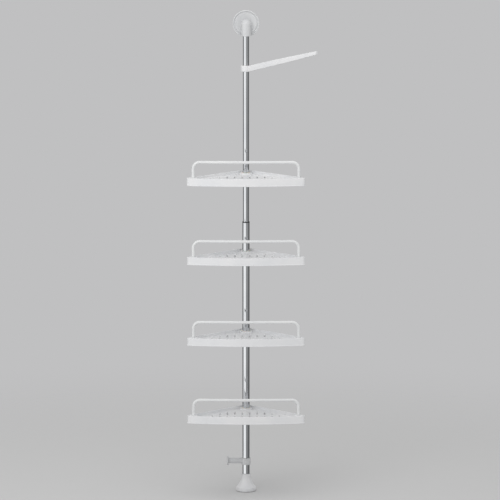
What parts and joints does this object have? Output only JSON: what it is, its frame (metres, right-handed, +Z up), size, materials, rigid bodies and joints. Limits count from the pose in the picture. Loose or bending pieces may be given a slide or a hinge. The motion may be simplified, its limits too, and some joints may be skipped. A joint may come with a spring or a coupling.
{
  "type": "corner shower shelf",
  "caption": "Telescopic chrome pole with curved white corner trays, guard rails, a rising towel arm, a peg, a bell foot and a tilting pad on top.",
  "frame": {"origin": "centre of the foot's underside, on the pole's axis", "axes": "+Z up along the pole, +Y into the room's corner, -Y towards the trays' curved fronts, +X to the right of a viewer who faces the corner"},
  "size_m": [0.382, 0.2376, 1.4378],
  "materials": {
    "chrome_tube": "bright chrome plate",
    "white_plastic": "satin moulded",
    "white_coated_steel": "smooth white coating",
    "white_nylon": "satin",
    "grey_nylon": "matt",
    "zinc_plated_steel": "zinc plate",
    "pale_rubber": "matt"
  },
  "bodies": {
    "lower_pole": {"lower_tube": "chrome_tube", "tube_mouth_bush": "grey_nylon", "foot_bell": "white_plastic", "foot_sole": "pale_rubber"},
    "lock": {"lock_shoe": "white_nylon"},
    "upper_pole": {"upper_tube": "chrome_tube", "lock_spindle": "zinc_plated_steel", "top_cap": "white_plastic", "pad_pin": "zinc_plated_steel"},
    "pad": {"pad_cup": "white_plastic", "pad_sole": "pale_rubber"},
    "collar_1": {"collet_left_1": "white_nylon", "collet_right_1": "white_nylon"},
    "shelf_1": {"tray_1": "white_plastic", "rail_1": "white_coated_steel", "rail_screw_left_1": "zinc_plated_steel", "rail_screw_right_1": "zinc_plated_steel"},
    "collar_2": {"collet_left_2": "white_nylon", "collet_right_2": "white_nylon"},
    "shelf_2": {"tray_2": "white_plastic", "rail_2": "white_coated_steel", "rail_screw_left_2": "zinc_plated_steel", "rail_screw_right_2": "zinc_plated_steel"},
    "collar_3": {"collet_left_3": "white_nylon", "collet_right_3": "white_nylon"},
    "shelf_3": {"tray_3": "white_plastic", "rail_3": "white_coated_steel", "rail_screw_left_3": "zinc_plated_steel", "rail_screw_right_3": "zinc_plated_steel"},
    "collar_4": {"collet_left_4": "white_nylon", "collet_right_4": "white_nylon"},
    "shelf_4": {"tray_4": "white_plastic", "rail_4": "white_coated_steel", "rail_screw_left_4": "zinc_plated_steel", "rail_screw_right_4": "zinc_plated_steel"},
    "towel_arm_collar": {"towel_arm_liner": "white_nylon"},
    "towel_arm": {"towel_arm": "white_plastic"},
    "towel_arm_knob": {"towel_arm_screw": "white_plastic"},
    "hook_collar": {"hook_liner": "white_nylon"},
    "hook": {"hook_ring": "white_plastic", "hook_cap": "white_plastic"},
    "hook_knob": {"hook_screw": "white_plastic"}
  },
  "joints": [
    {"name": "pole_telescope", "type": "slide", "parent": "lower_pole", "child": "lock", "axis": [0, 0, 1], "range_m": [-0.06, 0.18]},
    {"name": "pole_twist", "type": "hinge", "parent": "lock", "child": "upper_pole", "pos_m": [0, 0, 0.5495], "axis": [0, 0, 1], "range_deg": [-90, 90]},
    {"name": "pad_tilt", "type": "hinge", "parent": "upper_pole", "child": "pad", "pos_m": [0, 0, 1.3985], "axis": [1, 0, 0], "range_deg": [0, 90]},
    {"name": "shelf_1_height", "type": "slide", "parent": "upper_pole", "child": "collar_1", "axis": [0, 0, 1], "range_m": [-0.035, 0.05]},
    {"name": "shelf_1_swivel", "type": "hinge", "parent": "collar_1", "child": "shelf_1", "pos_m": [0, 0, 0.963], "axis": [0, 0, 1], "range_deg": [-90, 90]},
    {"name": "shelf_2_height", "type": "slide", "parent": "lower_pole", "child": "collar_2", "axis": [0, 0, 1], "range_m": [-0.05, 0.05]},
    {"name": "shelf_2_swivel", "type": "hinge", "parent": "collar_2", "child": "shelf_2", "pos_m": [0, 0, 0.7292], "axis": [0, 0, 1], "range_deg": [-90, 90]},
    {"name": "shelf_3_height", "type": "slide", "parent": "lower_pole", "child": "collar_3", "axis": [0, 0, 1], "range_m": [-0.05, 0.05]},
    {"name": "shelf_3_swivel", "type": "hinge", "parent": "collar_3", "child": "shelf_3", "pos_m": [0, 0, 0.4892], "axis": [0, 0, 1], "range_deg": [-90, 90]},
    {"name": "shelf_4_height", "type": "slide", "parent": "lower_pole", "child": "collar_4", "axis": [0, 0, 1], "range_m": [-0.05, 0.05]},
    {"name": "shelf_4_swivel", "type": "hinge", "parent": "collar_4", "child": "shelf_4", "pos_m": [0, 0, 0.2567], "axis": [0, 0, 1], "range_deg": [-90, 90]},
    {"name": "towel_arm_height", "type": "slide", "parent": "upper_pole", "child": "towel_arm_collar", "axis": [0, 0, 1], "range_m": [-0.1, 0.07]},
    {"name": "towel_arm_swivel", "type": "hinge", "parent": "towel_arm_collar", "child": "towel_arm", "pos_m": [0, 0, 1.268], "axis": [0, 0, 1], "range_deg": [-90, 90]},
    {"name": "hook_height", "type": "slide", "parent": "lower_pole", "child": "hook_collar", "axis": [0, 0, 1], "range_m": [-0.015, 0.06]},
    {"name": "hook_swivel", "type": "hinge", "parent": "hook_collar", "child": "hook", "pos_m": [0, 0, 0.09], "axis": [0, 0, 1], "range_deg": [-90, 90]},
    {"name": "towel_arm_clamp_turn", "type": "hinge", "parent": "towel_arm", "child": "towel_arm_knob", "pos_m": [0, 0.02, 1.268], "axis": [0, 1, 0], "range_deg": [0, 270]},
    {"name": "hook_clamp_turn", "type": "hinge", "parent": "hook", "child": "hook_knob", "pos_m": [0, 0.02, 0.09], "axis": [0, 1, 0], "range_deg": [0, 270]}
  ]
}
